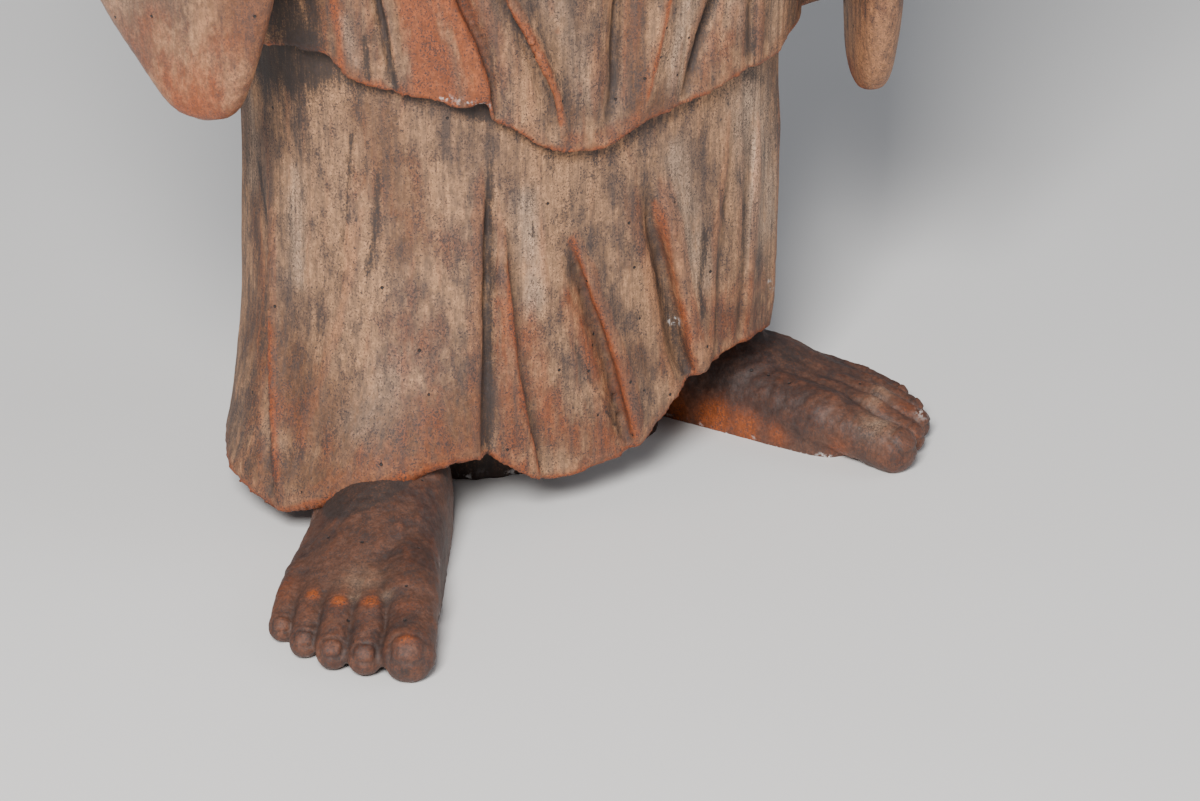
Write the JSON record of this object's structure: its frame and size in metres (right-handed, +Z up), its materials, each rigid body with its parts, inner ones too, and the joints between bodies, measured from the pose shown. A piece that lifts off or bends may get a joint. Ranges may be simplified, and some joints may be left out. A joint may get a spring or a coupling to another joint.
{
  "type": "buddhist disciple statue",
  "caption": "Standing disciple figure in unglazed wood-fired stoneware: barefoot, long under-robe, shorter over-robe with a broken hem, wide hanging sleeves, hands joined at the chest.",
  "frame": {"origin": "On the ground under the robe, on the flat underside of the clay support between the feet.", "axes": "+Z up, the figure faces -Y, its own left hand side is +X."},
  "size_m": [0.2635, 0.1732, 0.52],
  "materials": {
    "stoneware": "bare wood-fired clay, tan grey to orange brown with soot streaks, matte"
  },
  "bodies": {
    "root": {"monk_figure": "stoneware"}
  },
  "joints": []
}
